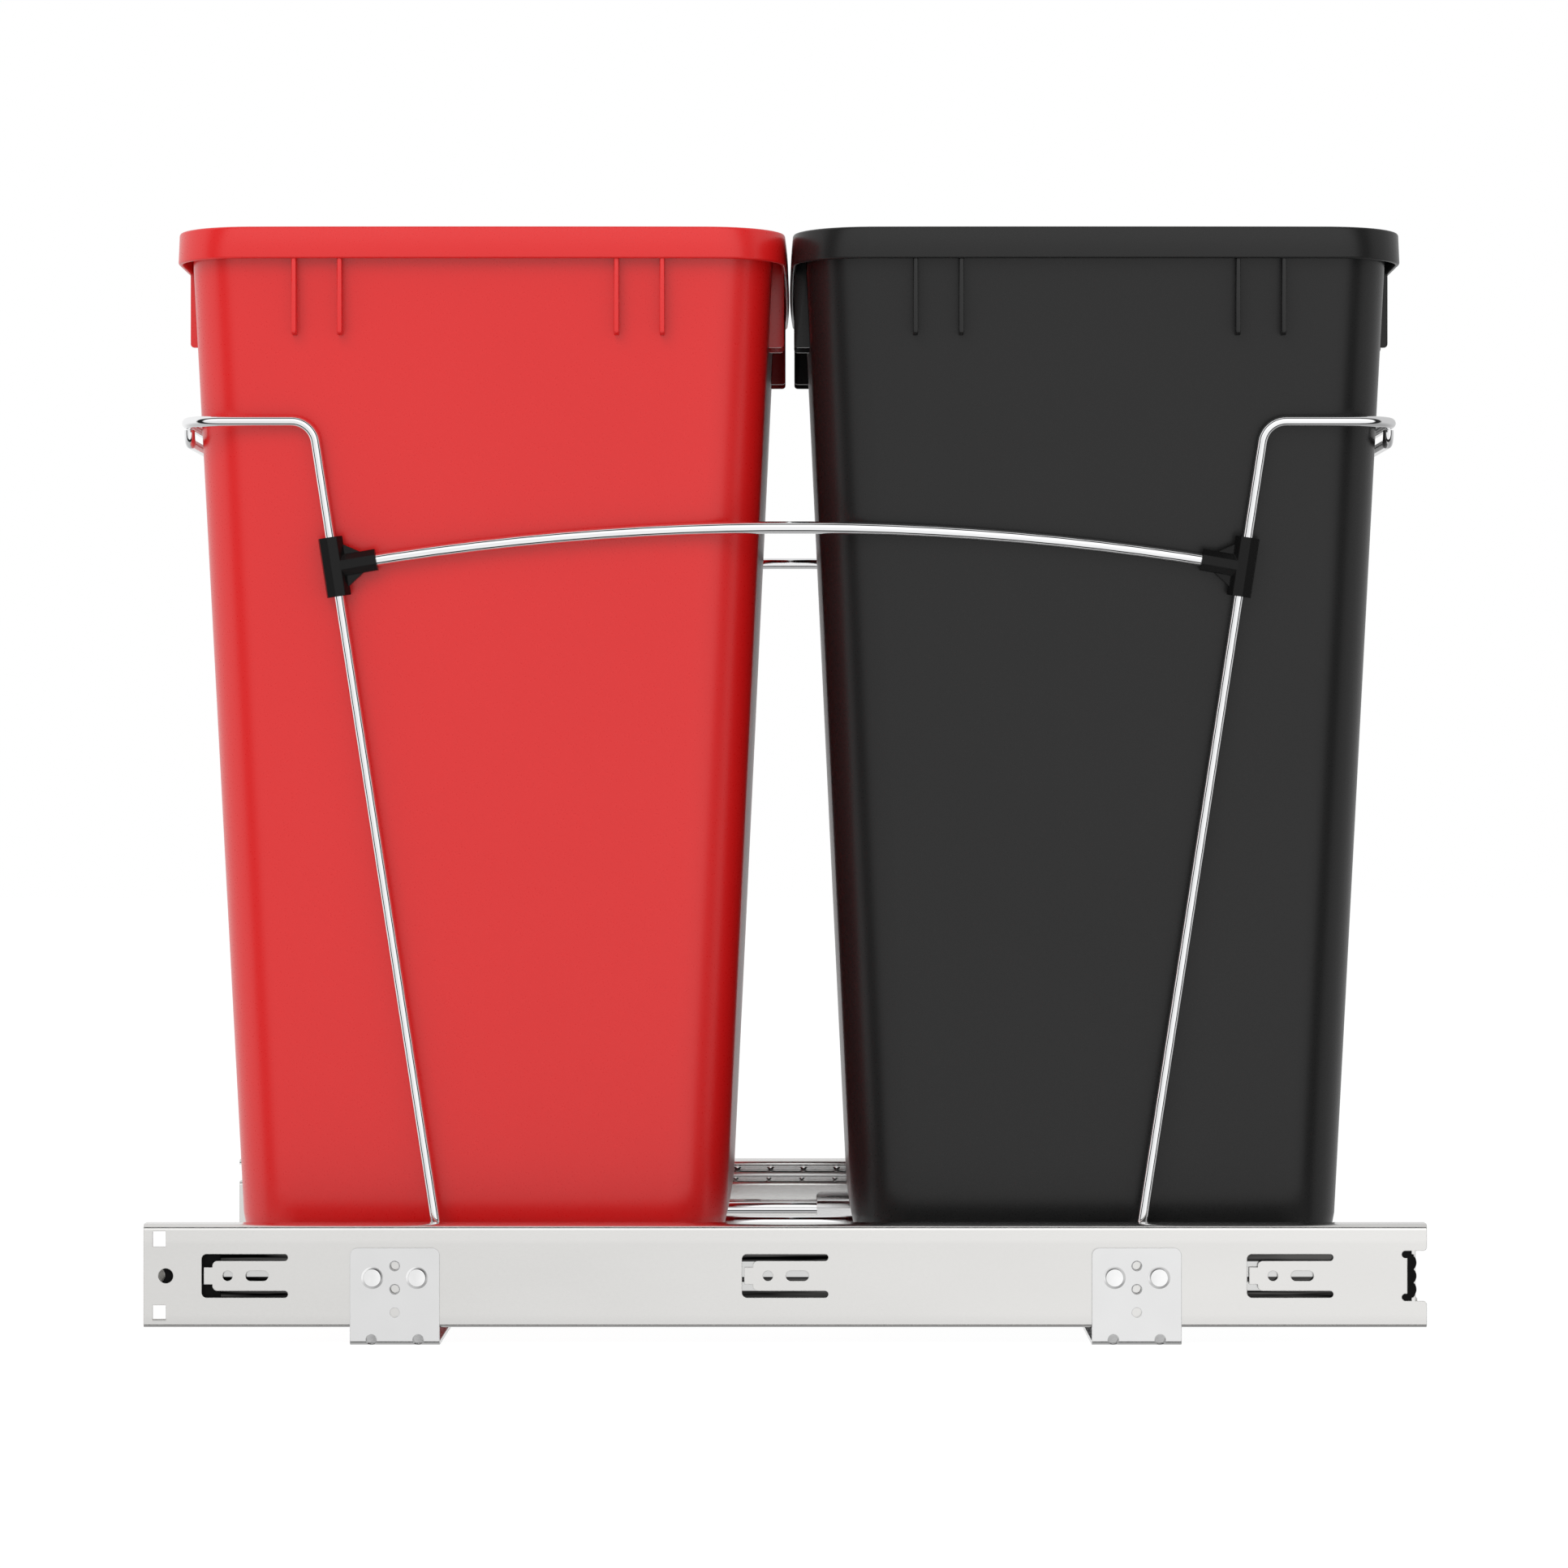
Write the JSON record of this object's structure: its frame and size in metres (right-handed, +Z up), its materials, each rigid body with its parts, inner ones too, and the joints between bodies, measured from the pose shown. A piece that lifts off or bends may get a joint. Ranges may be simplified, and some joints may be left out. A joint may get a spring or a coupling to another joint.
{
  "type": "pull-out bin frame",
  "caption": "Pull-out wire frame on full-extension ball slides with floor straps, carrying a red and a black tapered waste bin that lift out.",
  "frame": {"origin": "on the cabinet floor, under the middle of the slides' length and width", "axes": "-X is the way the frame pulls out, +Y is the user's left-hand side, +Z is up"},
  "size_m": [0.5588, 0.3794, 0.4878],
  "materials": {
    "zinc_steel": "bright zinc plated, satin",
    "strap_steel": "zinc plated, satin",
    "fastener_steel": "bright plated",
    "ball_steel": "polished",
    "chrome_wire": "bright chrome plated",
    "red_plastic": "satin moulded",
    "black_plastic": "satin moulded",
    "connector_plastic": "satin moulded",
    "rubber": "matt"
  },
  "bodies": {
    "cabinet_base": {"right_cabinet_rail": "zinc_steel", "left_cabinet_rail": "zinc_steel", "front_cross_strap": "strap_steel", "rear_cross_strap": "strap_steel", "strap_rivets": "fastener_steel", "right_rear_bumper": "rubber", "left_rear_bumper": "rubber"},
    "outer_ball_cages": {"right_outer_cage": "zinc_steel", "left_outer_cage": "zinc_steel", "right_outer_balls": "ball_steel", "left_outer_balls": "ball_steel"},
    "middle_rails": {"right_middle_rail": "zinc_steel", "left_middle_rail": "zinc_steel", "right_front_stop": "rubber", "left_front_stop": "rubber"},
    "inner_ball_cages": {"right_inner_cage": "zinc_steel", "left_inner_cage": "zinc_steel", "right_inner_balls": "ball_steel", "left_inner_balls": "ball_steel"},
    "carriage": {"right_drawer_rail": "zinc_steel", "left_drawer_rail": "zinc_steel", "right_joint_tabs": "strap_steel", "left_joint_tabs": "strap_steel", "right_tab_screws": "fastener_steel", "left_tab_screws": "fastener_steel", "right_base_wire": "chrome_wire", "left_base_wire": "chrome_wire", "right_inner_wire": "chrome_wire", "left_inner_wire": "chrome_wire", "right_arch_rail": "chrome_wire", "left_arch_rail": "chrome_wire", "cross_wires": "chrome_wire", "front_hoop": "chrome_wire", "rear_hoop": "chrome_wire", "front_lower_bar": "chrome_wire", "rear_lower_bar": "chrome_wire", "front_right_tee": "connector_plastic", "front_left_tee": "connector_plastic", "rear_right_tee": "connector_plastic", "rear_left_tee": "connector_plastic"},
    "front_bin": {"front_bin": "red_plastic"},
    "rear_bin": {"rear_bin": "black_plastic"}
  },
  "joints": [
    {"name": "carriage_slide", "type": "slide", "parent": "cabinet_base", "child": "carriage", "axis": [-1, 0, 0], "range_m": [0, 0.55]},
    {"name": "middle_rail_slide", "type": "slide", "parent": "cabinet_base", "child": "middle_rails", "axis": [-1, 0, 0], "range_m": [0, 0.275]},
    {"name": "outer_cage_slide", "type": "slide", "parent": "cabinet_base", "child": "outer_ball_cages", "axis": [-1, 0, 0], "range_m": [0, 0.1375]},
    {"name": "inner_cage_slide", "type": "slide", "parent": "cabinet_base", "child": "inner_ball_cages", "axis": [-1, 0, 0], "range_m": [0, 0.4125]},
    {"name": "front_bin_lift", "type": "slide", "parent": "carriage", "child": "front_bin", "axis": [0, 0, 1], "range_m": [0, 0.46]},
    {"name": "rear_bin_lift", "type": "slide", "parent": "carriage", "child": "rear_bin", "axis": [0, 0, 1], "range_m": [0, 0.46]}
  ],
  "couplings": [
    {"joint": "middle_rail_slide", "follows": "carriage_slide", "ratio": 0.5},
    {"joint": "outer_cage_slide", "follows": "carriage_slide", "ratio": 0.25},
    {"joint": "inner_cage_slide", "follows": "carriage_slide", "ratio": 0.75}
  ]
}
